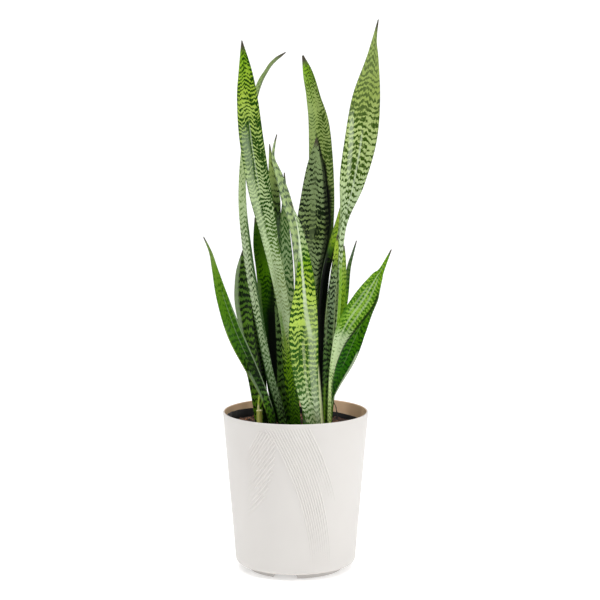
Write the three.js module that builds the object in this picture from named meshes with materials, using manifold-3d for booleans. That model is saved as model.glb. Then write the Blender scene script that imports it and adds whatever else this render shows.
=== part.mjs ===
// Potted snake plant: a tapered planter pot on three low feet, a thin black liner pot inside it,
// potting soil, nineteen banded leaves, one cut-back shoot and one dry fibre.
// Millimetres, +Z up, the front towards -Y, the pot standing on Z = 0.

import * as THREE from 'three';
import { mergeVertices } from 'three/addons/utils/BufferGeometryUtils.js';
import Module from 'manifold-3d';

const wasm = await Module();
wasm.setup();

// ---------------------------------------------------------------- driving dimensions

const POT = {
  height: 263,
  rimRadius: 120,
  taper: 0.084, // radius lost per millimetre of height
  wall: 3,
  undersideZ: 10,
  bottomFillet: 8,
  floorTopZ: 15,
  segments: 72,
};

const FOOT = {
  radius: 78.5,
  wall: 4,
  notches: 3,
  notchWidthBottom: 42,
  notchWidthTop: 32,
  firstNotchDegrees: -12.5, // from the front, positive to the right
};

const LINER = {
  gap: 0.4, // to the pot wall and to the soil
  wall: 1.2,
  rimZ: 246, // mean height of the soft rim
  rimLean: 6.5, // the rim stands this much higher on its high side
  rimWave: 0.8, // small waves along the rim
  drainHoles: 6,
  drainRadius: 6,
  drainCircle: 60,
};

const SOIL = {
  edgeZ: 237.5, // mean height where it meets the liner
  crownZ: 240.5,
  lean: 2.5, // the bed is heaped this much higher on its high side
  highSideDegrees: 160, // left, a little to the back; the liner is high there too
  shoulderRadius: 85,
  middleRadius: 45,
  rootDepth: 34,
  socketGap: 0.5,
};

const BLADE = {
  across: 4, // facets from margin to margin
  perKnot: 3, // rings between two knots
  baseThickness: 6.5,
  middleThickness: 3.2,
  tipThickness: 1.4,
  marginShare: 0.42, // margin thickness as a share of the midrib's
  thinnestMargin: 1,
  narrowest: 1.4,
  ripples: 2.25, // full waves of the margins from the root end to the tip
};

// Each leaf: knots [x, y, z, width] up its midrib from the buried root end to the tip.
// face: which way the hollow side looks, in degrees from the front, positive to the right.
// channel: how deep the blade is hollowed, as a share of its half width.
// face and channel are lists read evenly from the root end to the tip.
// crease: 1 is a sharp fold at the midrib, 2 a round gutter. wave: side-to-side ripple.
const LEAVES = {
  leaf_tall_left: {
    knots: [[1, -54, 205, 14], [0, -55, 260, 15], [-9, -57, 360, 17], [-22, -60, 458, 20],
      [-40, -65, 549, 26], [-57, -69, 631, 36], [-70, -72, 714, 38], [-76, -74, 777, 33],
      [-79, -75, 821, 21], [-84, -76, 868, 1.6]],
    face: [6, 8, 6, 4],
    channel: [0.7, 0.5, 0.3, 0.3],
    crease: 1.3,
    wave: 1,
  },
  leaf_tall_left_curled: {
    knots: [[-16, -36, 205, 15], [-20, -36, 260, 15], [-41, -34, 340, 15], [-58, -30, 433, 18],
      [-73.6, -24, 526, 19.2], [-82.4, -13, 614, 18.5], [-79, 1, 705, 16], [-59.5, 15, 788, 17.5],
      [-45, 22, 820, 14], [-32, 26, 837, 11], [-16, 30, 850, 1.6]],
    face: [-20, -35, -45, -70, -52],
    channel: [0.7, 0.6, 0.5, 0.2],
    crease: 1.2,
    wave: 0.5,
  },
  leaf_left_back_broad: {
    knots: [[-31, 12, 205, 14], [-33, 12, 258, 14], [-38.5, 12.5, 308, 20], [-42, 14, 345, 23],
      [-46, 20, 428, 28], [-50, 26, 494, 32], [-56, 30, 533, 29], [-61, 33, 563, 17],
      [-67, 36, 580, 1.6]],
    face: [10, 12, 8],
    channel: [0.6, 0.3, 0.25],
    crease: 1.7,
    wave: 0.6,
  },
  leaf_left_dark: {
    knots: [[-57, -12, 205, 13], [-59, -12, 250, 14], [-65.5, -14, 317, 21], [-70.5, -14.5, 345, 24],
      [-78, -15, 400, 25], [-84, -15, 449, 29], [-85, -13, 490, 24], [-85, -11, 513, 14],
      [-86, -9, 530, 1.6]],
    face: [-12, -16, -18],
    channel: [0.7, 0.45, 0.3],
    crease: 1.6,
    wave: 0.4,
  },
  leaf_left_thin: {
    knots: [[-51, 10, 205, 12], [-53, 10, 250, 13], [-58, 10.5, 337, 15], [-67.5, 7, 389, 14],
      [-76, 5, 447, 11], [-79, 5, 488, 1.6]],
    face: [40, 50, 50],
    channel: [0.7, 0.4, 0.3],
    crease: 1.5,
    wave: 0,
  },
  leaf_front_centre: {
    knots: [[31, -76, 205, 20], [29, -77, 256, 23], [17, -80, 327, 38], [11.5, -82, 410, 47.5],
      [14, -84, 482, 32], [12, -84, 537, 17], [5, -82, 578, 7], [-7, -78, 612, 1.6]],
    face: [4, 8, 14, 10],
    channel: [0.6, 0.35, 0.4, 0.3],
    crease: 1.5,
    wave: 1.2,
  },
  leaf_centre_grey: {
    knots: [[21, -48, 205, 14], [19, -48, 250, 15], [12, -50, 350, 16], [6, -50, 453, 16],
      [4, -47, 508, 14], [-3.5, -38, 569, 14.5], [-16.5, -30, 615, 16.5], [-27, -28, 651, 13],
      [-36, -26, 680, 6], [-34.5, -25.5, 700, 4], [-30, -25, 719, 1.6]],
    face: [5, 14, 24, 20],
    channel: [0.7, 0.5, 0.5, 0.3],
    crease: 1.3,
    wave: 0.5,
  },
  leaf_centre_dark: {
    knots: [[-12, -2, 205, 15], [-15, -2, 250, 17], [-19, -3, 305, 20.5], [-21, -4, 350, 18],
      [-25, -2, 455, 20], [-33, 1, 545, 21], [-34.3, 3, 612, 20.5], [-38.4, 6, 657, 11],
      [-42, 9, 702, 1.6]],
    face: [-6, -10, -10],
    channel: [0.7, 0.4, 0.3],
    crease: 1.6,
    wave: 0.5,
  },
  leaf_centre_chevron: {
    knots: [[0, -26, 205, 17], [-2, -26, 246, 19], [-8, -26, 322, 22], [-10, -24, 380, 26],
      [-13.5, -22, 453, 24], [-15, -20, 515, 21], [-18, -16, 570, 16], [-17, -14, 612, 9],
      [-18, -12, 657, 1.6]],
    face: [4, 4, 6],
    channel: [0.6, 0.35, 0.3],
    crease: 1.3,
    wave: 0.6,
  },
  leaf_centre_right_broad: {
    knots: [[43, -46, 205, 9], [41, -46, 250, 9.5], [32, -43, 352, 12], [23, -30, 445, 24],
      [22, -18, 505, 38], [27, -7, 566, 52], [30, 1, 612, 44], [32, 8, 657, 31],
      [33, 12, 685, 17], [34, 16, 711, 1.6]],
    face: [62, 58, 30, 4, 0, -2],
    channel: [0.7, 0.5, 0.3, 0.25],
    crease: 1.7,
    wave: 0.8,
  },
  leaf_tall_centre: {
    knots: [[40, 15, 205, 15], [40, 16, 260, 16], [38, 21, 394, 22], [41, 30, 509, 36],
      [44, 42, 608, 43], [40.5, 57, 720, 36], [30.2, 67, 776, 23.5], [21, 75, 815, 17],
      [12, 82, 845, 3]],
    face: [-6, -8, -8],
    channel: [0.7, 0.4, 0.3],
    crease: 1.6,
    wave: 1,
  },
  leaf_tall_right: {
    knots: [[52, 3, 205, 14], [52.5, 2, 250, 14], [62, -6, 380, 16], [67.3, -14, 465, 17],
      [69, -22, 540, 20], [76, -26, 592, 24], [89, -30, 646, 42], [105, -34, 713, 51],
      [114, -41, 777, 45], [122.4, -48, 837, 21], [125.2, -51, 868, 8.2], [131, -55, 901, 1.6]],
    face: [60, 66, 68, 50, 8, -8, -10, -10],
    channel: [0.7, 0.6, 0.5, 0.35, 0.3],
    crease: 1.4,
    wave: 1.2,
  },
  leaf_right_bright: {
    knots: [[54, -50, 205, 7], [54.5, -50, 250, 7], [56.5, -54, 322, 8], [65.5, -58, 373, 18],
      [82, -62, 414, 33], [111, -66, 457, 37.5], [130, -70, 492, 20], [138, -71, 505, 9],
      [153, -74, 538, 1.6]],
    face: [20, 20, 10, -6, -10],
    channel: [0.7, 0.5, 0.3, 0.3],
    crease: 1.5,
    wave: 0.8,
  },
  leaf_right_yellow: {
    knots: [[42, -6, 205, 13], [42, -4, 250, 13], [38.5, -4, 398, 14.5], [42.3, -3, 455, 16.5],
      [47, -2, 496, 18], [59, -3, 545, 17.5], [68.2, -5, 578, 11.5], [74, -6, 604, 1.6]],
    face: [30, 35, 45, 40],
    channel: [0.7, 0.5, 0.4],
    crease: 1.4,
    wave: 0,
  },
  leaf_right_narrow: {
    knots: [[48, -28, 205, 12], [48, -28, 250, 12], [51.5, -30, 349, 15], [54.3, -32, 402, 16.5],
      [58.5, -34, 456, 14.5], [63.6, -36.5, 510, 9.5], [66, -38, 535, 7.5], [67.5, -38, 558, 1.6]],
    face: [12, 4, 0],
    channel: [0.8, 0.45, 0.3],
    crease: 1.2,
    wave: 0,
  },
  leaf_right_green: {
    knots: [[53, 23, 205, 11], [54, 23, 250, 11], [68, 25, 394, 13], [77, 27, 461, 11],
      [79, 28, 507, 8], [80, 29, 534, 1.6]],
    face: [16, 22, 26],
    channel: [0.7, 0.5, 0.4],
    crease: 1.5,
    wave: 0,
  },
  leaf_right_small: {
    knots: [[55, 42, 205, 10], [56, 42, 250, 10], [73, 49, 391, 12], [82, 54, 446, 11],
      [87, 58, 491, 9], [94, 61, 516, 5.5], [101.5, 64, 539, 1.6]],
    face: [30, 40, 42],
    channel: [0.7, 0.5, 0.4],
    crease: 1.5,
    wave: 0,
  },
  leaf_right_low: {
    knots: [[52, -14.5, 205, 8], [53, -15, 250, 8], [55.5, -16, 280, 9.5], [62, -17, 308, 18.5],
      [83.5, -16, 359, 32.5], [102, -12, 400, 28], [117, -8, 430, 20], [129, -4, 450, 13.5],
      [138, -2, 465, 1.6]],
    face: [60, 20, -8, -10],
    channel: [0.7, 0.4, 0.3],
    crease: 1.5,
    wave: 0.5,
  },
  leaf_left_outer: {
    knots: [[-38, -65, 205, 14], [-40, -66, 254, 15], [-55, -68, 303, 17], [-77.6, -74, 355, 23],
      [-99, -78, 406, 25], [-117, -80, 462, 19], [-128, -80, 506, 10], [-135, -80, 534, 5],
      [-146, -80, 559, 1.6]],
    face: [50, 40, 12, 6, 4],
    channel: [0.8, 0.7, 0.4, 0.3],
    crease: 1.3,
    wave: 0.5,
  },
};

const CUT_SHOOT = {
  x: -59,
  y: -36,
  topZ: 271,
  radiusX: 4.8,
  radiusY: 4,
  cupDepth: 5,
  sliver: {
    knots: [[-60.5, -36, 258, 3.6], [-60.5, -36, 275, 3.2], [-60, -36, 287, 2.6],
      [-59, -37, 296, 1.6]],
    face: [0, 0],
    channel: [0.2, 0.2],
    crease: 1.6,
    wave: 0,
    thickness: 1.6,
  },
};

const FIBRE = {
  radius: 0.8,
  sides: 6,
  path: [[70, 60, 226], [70, 60, 240], [69, 64, 251], [67, 68, 259], [61, 70, 268]],
  holeRadius: 1.3,
};

// ---------------------------------------------------------------- materials

function material(color, roughness, metalness = 0) {
  return new THREE.MeshStandardMaterial({ color, roughness, metalness });
}

const potPlastic = material(0xe8e5e1, 0.55);
const linerPlastic = material(0x16161a, 0.5);
const pottingSoil = material(0x4a2f22, 0.95);
const greyGreenLeaf = material(0x9fb08a, 0.35);
const midGreenLeaf = material(0x4f7d1f, 0.35);
const darkGreenLeaf = material(0x2c4a1a, 0.35);
const yellowGreenLeaf = material(0x9fb83c, 0.35);
const dryFibre = material(0x3a332c, 0.8);

const LEAF_MATERIALS = {
  leaf_tall_left: greyGreenLeaf,
  leaf_tall_left_curled: greyGreenLeaf,
  leaf_left_back_broad: midGreenLeaf,
  leaf_left_dark: darkGreenLeaf,
  leaf_left_thin: midGreenLeaf,
  leaf_front_centre: greyGreenLeaf,
  leaf_centre_grey: greyGreenLeaf,
  leaf_centre_dark: darkGreenLeaf,
  leaf_centre_chevron: midGreenLeaf,
  leaf_centre_right_broad: darkGreenLeaf,
  leaf_tall_centre: midGreenLeaf,
  leaf_tall_right: greyGreenLeaf,
  leaf_right_bright: yellowGreenLeaf,
  leaf_right_yellow: yellowGreenLeaf,
  leaf_right_narrow: darkGreenLeaf,
  leaf_right_green: midGreenLeaf,
  leaf_right_small: darkGreenLeaf,
  leaf_right_low: midGreenLeaf,
  leaf_left_outer: midGreenLeaf,
};

// ---------------------------------------------------------------- solids

function toSolid(geometry) {
  const bare = geometry.clone();
  bare.deleteAttribute('normal');
  bare.deleteAttribute('uv');
  bare.clearGroups();
  const merged = mergeVertices(bare, 1e-4);
  return new wasm.Manifold(new wasm.Mesh({
    numProp: 3,
    vertProperties: new Float32Array(merged.attributes.position.array),
    triVerts: new Uint32Array(merged.index.array),
  }));
}

function toGeometry(solid) {
  const mesh = solid.getMesh();
  const geometry = new THREE.BufferGeometry();
  geometry.setAttribute('position', new THREE.BufferAttribute(mesh.vertProperties, 3));
  geometry.setIndex(new THREE.BufferAttribute(mesh.triVerts, 1));
  geometry.computeVertexNormals();
  return geometry;
}

// A turned solid: profile points [radius, z], the axis upright.
function turned(profile, segments) {
  const points = profile.map(([radius, z]) => new THREE.Vector2(radius, z));
  const geometry = new THREE.LatheGeometry(points, segments);
  geometry.rotateX(Math.PI / 2);
  return geometry;
}

// Points of a round stretch of a profile, from one angle to another in degrees.
function arc(radius, z, size, from, to, steps) {
  const points = [];
  for (let i = 0; i <= steps; i += 1) {
    const angle = THREE.MathUtils.degToRad(from + (to - from) * i / steps);
    points.push([radius + size * Math.cos(angle), z + size * Math.sin(angle)]);
  }
  return points;
}

// ---------------------------------------------------------------- pot, liner and soil

// Outer radius of the pot's straight wall at a height.
function potRadius(z) {
  return POT.rimRadius - POT.taper * (POT.height - z);
}

function potGeometry() {
  const lip = POT.wall / 2;
  const fillet = POT.bottomFillet;
  const innerFillet = fillet - POT.wall;
  const filletZ = POT.undersideZ + fillet;
  const innerFilletZ = POT.floorTopZ + innerFillet;
  const profile = [
    [0, POT.undersideZ],
    [FOOT.radius - FOOT.wall, POT.undersideZ],
    [FOOT.radius - FOOT.wall, 0],
    [FOOT.radius, 0],
    [FOOT.radius, POT.undersideZ],
    ...arc(potRadius(filletZ) - fillet, filletZ, fillet, -90, 0, 4),
    ...arc(potRadius(POT.height) - lip, POT.height - lip, lip, 0, 180, 4),
    ...arc(potRadius(innerFilletZ) - POT.wall - innerFillet, innerFilletZ, innerFillet, 0, -90, 3),
    [0, POT.floorTopZ],
  ];
  let pot = toSolid(turned(profile, POT.segments));
  for (let i = 0; i < FOOT.notches; i += 1) {
    const degrees = FOOT.firstNotchDegrees + 360 * i / FOOT.notches;
    pot = pot.subtract(toSolid(notchGeometry(degrees)));
  }
  return toGeometry(pot);
}

// A wedge with slanted ends that opens the foot ring at one angle from the front.
function notchGeometry(degrees) {
  const shape = new THREE.Shape();
  shape.moveTo(-FOOT.notchWidthBottom / 2, -1);
  shape.lineTo(FOOT.notchWidthBottom / 2, -1);
  shape.lineTo(FOOT.notchWidthTop / 2, POT.undersideZ);
  shape.lineTo(-FOOT.notchWidthTop / 2, POT.undersideZ);
  shape.closePath();
  const inner = FOOT.radius / 2;
  const depth = FOOT.radius - inner + FOOT.wall;
  const geometry = new THREE.ExtrudeGeometry(shape, { depth, bevelEnabled: false });
  geometry.translate(0, 0, inner);
  geometry.rotateX(Math.PI / 2);
  geometry.rotateZ(THREE.MathUtils.degToRad(degrees));
  return geometry;
}

// Outer radius of the liner at a height, clear of the pot wall.
function linerRadius(z) {
  return potRadius(z) - POT.wall - LINER.gap;
}

function linerGeometry() {
  const bottom = POT.floorTopZ + LINER.gap;
  const corner = bottom + POT.bottomFillet;
  const inside = bottom + LINER.wall;
  const geometry = turned([
    [0, bottom],
    [linerRadius(corner) - POT.bottomFillet, bottom],
    [linerRadius(corner), corner],
    [linerRadius(LINER.rimZ), LINER.rimZ],
    [linerRadius(LINER.rimZ) - LINER.wall, LINER.rimZ],
    [linerRadius(corner) - LINER.wall, corner],
    [linerRadius(corner) - POT.bottomFillet - LINER.wall / 2, inside],
    [0, inside],
  ], POT.segments);
  liftAbove(geometry, LINER.rimZ - 1, (angle) => (
    LINER.rimLean * highSide(angle) + LINER.rimWave * Math.sin(5 * angle)));
  let liner = toSolid(geometry);
  for (let i = 0; i < LINER.drainHoles; i += 1) {
    const angle = 2 * Math.PI * i / LINER.drainHoles;
    const hole = new THREE.CylinderGeometry(
      LINER.drainRadius, LINER.drainRadius, 5 * LINER.wall, 20);
    hole.rotateX(Math.PI / 2);
    hole.translate(
      LINER.drainCircle * Math.cos(angle), LINER.drainCircle * Math.sin(angle), bottom);
    liner = liner.subtract(toSolid(hole));
  }
  return toGeometry(liner);
}

// Lifts all above a height by an amount that depends on the place, along the pot's sloping wall.
function liftAbove(geometry, height, liftAt) {
  const position = geometry.attributes.position;
  for (let i = 0; i < position.count; i += 1) {
    const [x, y, z] = [position.getX(i), position.getY(i), position.getZ(i)];
    if (z > height) {
      const radius = Math.hypot(x, y);
      const lift = liftAt(Math.atan2(y, x), radius);
      const spread = radius > 1 ? 1 + POT.taper * lift / radius : 1;
      position.setXYZ(i, x * spread, y * spread, z + lift);
    }
  }
}

// How far round from the high side: 1 there, -1 on the low side.
function highSide(angle) {
  return Math.cos(angle - THREE.MathUtils.degToRad(SOIL.highSideDegrees));
}

function soilGeometry(sockets) {
  const bottom = POT.floorTopZ + LINER.wall + 2 * LINER.gap;
  const corner = bottom + POT.bottomFillet;
  const inset = LINER.wall + LINER.gap;
  const crown = SOIL.crownZ - SOIL.edgeZ;
  const bed = turned([
    [0, bottom],
    [linerRadius(corner) - inset - POT.bottomFillet, bottom],
    [linerRadius(corner) - inset, corner],
    [linerRadius(SOIL.edgeZ) - inset, SOIL.edgeZ],
    [SOIL.shoulderRadius, SOIL.edgeZ + 0.6 * crown],
    [SOIL.middleRadius, SOIL.edgeZ + 0.9 * crown],
    [0, SOIL.crownZ],
  ], POT.segments);
  liftAbove(bed, SOIL.edgeZ - 1, (angle, radius) => (
    SOIL.lean * highSide(angle) * radius / linerRadius(SOIL.edgeZ)));
  let soil = toSolid(bed);
  for (const socket of sockets) {
    soil = soil.subtract(socket);
  }
  return toGeometry(soil);
}

// ---------------------------------------------------------------- leaves

// A smooth line through evenly spaced values, read at t from 0 to 1.
function smooth(values, t) {
  const last = values.length - 1;
  const i = Math.min(Math.floor(t * last), last - 1);
  const s = t * last - i;
  const b = values[i];
  const c = values[i + 1];
  const a = i > 0 ? values[i - 1] : 2 * b - c;
  const d = i + 2 <= last ? values[i + 2] : 2 * c - b;
  const bend = 2 * a - 5 * b + 4 * c - d;
  const twist = 3 * b - a - 3 * c + d;
  return b + 0.5 * s * (c - a + s * (bend + s * twist));
}

// The midrib point, the sideways and outward directions and the sizes of a leaf at t.
function leafFrame(leaf, t) {
  const read = (axis, at) => smooth(leaf.knots.map((knot) => knot[axis]), at);
  const point = (at) => new THREE.Vector3(read(0, at), read(1, at), read(2, at));
  const step = 0.002;
  const along = point(Math.min(t + step, 1)).sub(point(Math.max(t - step, 0))).normalize();
  const face = THREE.MathUtils.degToRad(smooth(leaf.face, t));
  const towards = new THREE.Vector3(Math.sin(face), -Math.cos(face), 0);
  const across = along.clone().cross(towards).normalize();
  const front = across.clone().cross(along);
  return {
    centre: point(t),
    along,
    across,
    front,
    halfWidth: Math.max(read(3, t), BLADE.narrowest) / 2,
    channel: smooth(leaf.channel, t),
  };
}

// Thickness of a blade at t, thick at the root end and thin at the tip.
function bladeThickness(leaf, t) {
  if (leaf.thickness) {
    return leaf.thickness;
  }
  const lower = THREE.MathUtils.smoothstep(t, 0, 0.55);
  const upper = THREE.MathUtils.smoothstep(t, 0.6, 1);
  const body = THREE.MathUtils.lerp(BLADE.baseThickness, BLADE.middleThickness, lower);
  return THREE.MathUtils.lerp(body, BLADE.tipThickness, upper);
}

// A point of the blade: u from margin to margin, v from its front to its back, both -1 to 1.
function leafPoint(leaf, t, u, v, grow) {
  const { centre, along, across, front, halfWidth, channel } = leafFrame(leaf, t);
  const mid = bladeThickness(leaf, t);
  const margin = Math.max(mid * BLADE.marginShare, BLADE.thinnestMargin);
  const thickness = THREE.MathUtils.lerp(mid, margin, u * u) + 2 * grow;
  const cup = channel * halfWidth * Math.abs(u) ** leaf.crease;
  const swing = Math.sin(2 * Math.PI * BLADE.ripples * t) * Math.sin(Math.PI * t);
  const ripple = leaf.wave * u * Math.abs(u) * swing;
  return centre
    .addScaledVector(across, u * (halfWidth + grow))
    .addScaledVector(front, cup + ripple - v * thickness / 2)
    .addScaledVector(along, t === 0 ? -grow : 0);
}

// A box bent into a blade: its x runs across, its y through and its z along the leaf.
function leafGeometry(leaf, grow = 0) {
  const rings = BLADE.perKnot * (leaf.knots.length - 1);
  const geometry = new THREE.BoxGeometry(1, 1, 1, BLADE.across, 1, rings);
  splitFacesAlike(geometry);
  const position = geometry.attributes.position;
  for (let i = 0; i < position.count; i += 1) {
    const u = 2 * position.getX(i);
    const v = 2 * position.getY(i);
    const t = THREE.MathUtils.clamp(position.getZ(i) + 0.5, 0, 1);
    const point = leafPoint(leaf, t, u, v, grow);
    position.setXYZ(i, point.x, point.y, point.z);
  }
  return geometry;
}

// Turns the diagonals of the box's -y side, so that both faces of a blade are split alike.
function splitFacesAlike(geometry) {
  const side = geometry.groups[3];
  const index = geometry.index;
  for (let i = side.start; i < side.start + side.count; i += 6) {
    const [a, b, d, c] = [index.getX(i), index.getX(i + 1), index.getX(i + 2), index.getX(i + 4)];
    [a, b, c, a, c, d].forEach((vertex, k) => index.setX(i + k, vertex));
  }
}

// The cut-back shoot: a short sheath with a hollowed cut end and a sliver of blade left on it.
function shootGeometry() {
  const { x, y, topZ, radiusX, radiusY, cupDepth, sliver } = CUT_SHOOT;
  const bottom = SOIL.edgeZ - SOIL.rootDepth;
  const sheath = turned([
    [0, bottom],
    [0.8, bottom],
    [0.9, topZ - 18],
    [0.92, topZ - 4],
    [1, topZ - 1.5],
    [0.94, topZ],
    [0.6, topZ - 0.6],
    [0.45, topZ - cupDepth],
    [0, topZ - cupDepth],
  ], 20);
  sheath.scale(radiusX, radiusY, 1);
  sheath.translate(x, y, 0);
  return toGeometry(toSolid(sheath).add(toSolid(leafGeometry(sliver))));
}

function fibreGeometry() {
  const shape = new THREE.Shape();
  shape.absarc(0, 0, FIBRE.radius, 0, 2 * Math.PI);
  const path = new THREE.CatmullRomCurve3(FIBRE.path.map((point) => new THREE.Vector3(...point)));
  return new THREE.ExtrudeGeometry(shape, {
    steps: 12,
    curveSegments: FIBRE.sides,
    extrudePath: path,
    bevelEnabled: false,
  });
}

// ---------------------------------------------------------------- the plant

// An upright round hole up through the soil, its radii given across and from front to back.
function uprightHole(x, y, radiusX, radiusY, bottomZ) {
  const depth = 2 * (SOIL.crownZ - bottomZ);
  const hole = new THREE.CylinderGeometry(1, 1, depth, 20);
  hole.rotateX(Math.PI / 2);
  hole.scale(radiusX, radiusY, 1);
  hole.translate(x, y, bottomZ + depth / 2);
  return toSolid(hole);
}

function shootSocket() {
  const { x, y, radiusX, radiusY } = CUT_SHOOT;
  const gap = SOIL.socketGap;
  return uprightHole(x, y, radiusX + gap, radiusY + gap, SOIL.edgeZ - SOIL.rootDepth - gap);
}

function fibreSocket() {
  const [x, y, z] = FIBRE.path[0];
  return uprightHole(x, y, FIBRE.holeRadius, FIBRE.holeRadius, z - SOIL.socketGap);
}

const plant = new THREE.Group();

function place(name, geometry, meshMaterial) {
  const mesh = new THREE.Mesh(geometry, meshMaterial);
  mesh.name = name;
  plant.add(mesh);
}

const sockets = Object.values(LEAVES).map((leaf) => toSolid(leafGeometry(leaf, SOIL.socketGap)));
sockets.push(shootSocket(), fibreSocket());

place('planter_pot', potGeometry(), potPlastic);
place('nursery_liner', linerGeometry(), linerPlastic);
place('potting_soil', soilGeometry(sockets), pottingSoil);
for (const [name, leaf] of Object.entries(LEAVES)) {
  place(name, toGeometry(toSolid(leafGeometry(leaf))), LEAF_MATERIALS[name]);
}
place('cut_shoot', shootGeometry(), yellowGreenLeaf);
place('dry_fibre', toGeometry(toSolid(fibreGeometry())), dryFibre);

// The origin lies under the middle of the whole plant's box.
const box = new THREE.Box3().setFromObject(plant);
plant.position.x = -(box.min.x + box.max.x) / 2;
plant.position.y = -(box.min.y + box.max.y) / 2;

export default plant;
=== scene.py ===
# %% [markdown]
# # A potted snake plant
#
# A snake plant has no trunk: stiff, upright leaves rise straight out of the soil, each a long blade
# that is a thick gutter at its foot, nearly flat higher up, and drawn out to a sharp tip. Dark wavy
# bands cross every leaf. This one stands in a thin black nursery liner inside a tapered, warm white
# planter with fine swept ribs.
#
# The solid model gives the size and place of every piece. This script replaces its plain solids
# with finer ones of the same form and gives each a finish built from nodes.

import math
import random

import bmesh
import bpy
from mathutils import Euler, Matrix, Vector, noise


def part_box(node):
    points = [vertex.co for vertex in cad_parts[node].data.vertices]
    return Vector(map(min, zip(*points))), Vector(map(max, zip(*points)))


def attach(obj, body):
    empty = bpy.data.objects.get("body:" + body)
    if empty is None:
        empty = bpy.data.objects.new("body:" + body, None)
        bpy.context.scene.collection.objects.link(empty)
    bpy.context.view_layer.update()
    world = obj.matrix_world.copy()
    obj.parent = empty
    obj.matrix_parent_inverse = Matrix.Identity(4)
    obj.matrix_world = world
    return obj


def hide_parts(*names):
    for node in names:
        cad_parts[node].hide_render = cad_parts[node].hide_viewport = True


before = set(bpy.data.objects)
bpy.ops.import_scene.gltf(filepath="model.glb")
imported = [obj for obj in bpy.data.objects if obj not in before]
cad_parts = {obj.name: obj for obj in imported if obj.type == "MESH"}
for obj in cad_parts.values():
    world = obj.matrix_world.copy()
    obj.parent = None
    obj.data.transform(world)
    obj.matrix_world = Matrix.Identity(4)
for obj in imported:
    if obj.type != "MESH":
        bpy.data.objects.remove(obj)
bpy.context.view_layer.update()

# %% [markdown]
# ## The pot's axis and the main heights
#
# The model's origin lies under the middle of the whole plant, so the pot's own axis is a few
# millimetres off it. Everything below is placed from that axis and the size of the solid pot.

# %% Read the axis and heights from the frame
pot_low, pot_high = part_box("planter_pot")
AXIS_X = (pot_low[0] + pot_high[0]) / 2
AXIS = Vector((AXIS_X, 0, 0))
RIM_RADIUS = (pot_high[0] - pot_low[0]) / 2
RIM_Z = pot_high[2]
TAPER = 0.084  # radius lost per metre of height
WALL = 0.003
UNDERSIDE_Z = 0.010
FLOOR_Z = 0.015
FILLET = 0.008
print(f"pot axis at x {AXIS_X:.4f}, rim radius {RIM_RADIUS:.3f}, rim at {RIM_Z:.3f}")

# %% [markdown]
# ## Camera
#
# The photograph was taken from a little above, with a long lens, so upright edges stay nearly
# parallel and the rim is a shallow ellipse. A lens of about 110 mm three metres away gives that
# ellipse and the pot's taper together. It comes first, as everything is judged through it.

# %% Camera
CAMERA_DISTANCE = 3.0
CAMERA_HEIGHT = 0.8337
CAMERA_PITCH = 7.34  # degrees below level
CAMERA_SIDE = 0.00735
LENS_MM = 110.7
link = bpy.context.scene.collection.objects.link
camera_data = bpy.data.cameras.new("camera")
camera_data.lens = LENS_MM
camera_data.clip_end = 50
camera = bpy.data.objects.new("camera", camera_data)
camera.location = AXIS + Vector((CAMERA_SIDE, -CAMERA_DISTANCE, CAMERA_HEIGHT))
camera.rotation_euler = Euler((math.radians(90 - CAMERA_PITCH), 0, 0))
link(camera)
bpy.context.scene.camera = camera
print("camera at", tuple(round(v, 3) for v in camera.location))

# %% [markdown]
# ## Floor and light
#
# The plant is shown on plain white. A floor that curves up into a backdrop has no visible edge,
# so one extruded strip serves for both. The light is a soft even sky, a broad lamp above, and a
# tall lamp on each side that puts long pale highlights on the waxy leaves.

# %% Floor with a curved backdrop
def new_object(name, bm, smooth=True):
    bmesh.ops.recalc_face_normals(bm, faces=bm.faces)
    mesh = bpy.data.meshes.new(name)
    bm.to_mesh(mesh)
    bm.free()
    for face in mesh.polygons:
        face.use_smooth = smooth
    piece = bpy.data.objects.new(name, mesh)
    link(piece)
    return piece


def edge_chain(bm, points):
    verts = [bm.verts.new(point) for point in points]
    return [bm.edges.new(pair) for pair in zip(verts, verts[1:])]


def backdrop(front=-4.0, bend=2.2, radius=1.2, top=5.0, half_width=5.0):
    turns = [math.radians(7.5 * i) for i in range(13)]
    curve = [(bend + radius * math.sin(a), radius - radius * math.cos(a)) for a in turns]
    outline = [(front, 0)] + curve + [(bend + radius, top)]
    bm = bmesh.new()
    chain = edge_chain(bm, [(-half_width, y, z) for y, z in outline])
    strip = bmesh.ops.extrude_edge_only(bm, edges=chain)["geom"]
    verts = [item for item in strip if isinstance(item, bmesh.types.BMVert)]
    bmesh.ops.translate(bm, verts=verts, vec=(2 * half_width, 0, 0))
    return new_object("backdrop", bm)


floor = backdrop()
print("backdrop with", len(floor.data.polygons), "faces")

# %% Sky and lamps
SKY_STRENGTH = 0.4
world = bpy.data.worlds.new("studio")
world.use_nodes = True
sky = world.node_tree.nodes["Background"].inputs
sky["Color"].default_value = (1, 1, 1, 1)
sky["Strength"].default_value = SKY_STRENGTH
bpy.context.scene.world = world
bpy.context.scene.view_settings.view_transform = "Standard"


def lamp(name, place, target, size, watts):
    data = bpy.data.lights.new(name, "AREA")
    data.shape = "RECTANGLE"
    data.size, data.size_y = size
    data.energy = watts
    light = bpy.data.objects.new(name, data)
    light.location = place
    light.rotation_euler = (Vector(target) - Vector(place)).to_track_quat("-Z", "Y").to_euler()
    link(light)


lamp("right_strip", (1.9, -1.1, 1.3), (0, 0, 0.45), (0.35, 1.8), 21)
lamp("left_strip", (-2.0, -0.8, 1.3), (0, 0, 0.45), (0.25, 1.8), 11)
lamp("top_softbox", (0, -0.5, 2.9), (0, 0, 0.1), (3.0, 2.0), 62)
print("sky and three lamps")

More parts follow.
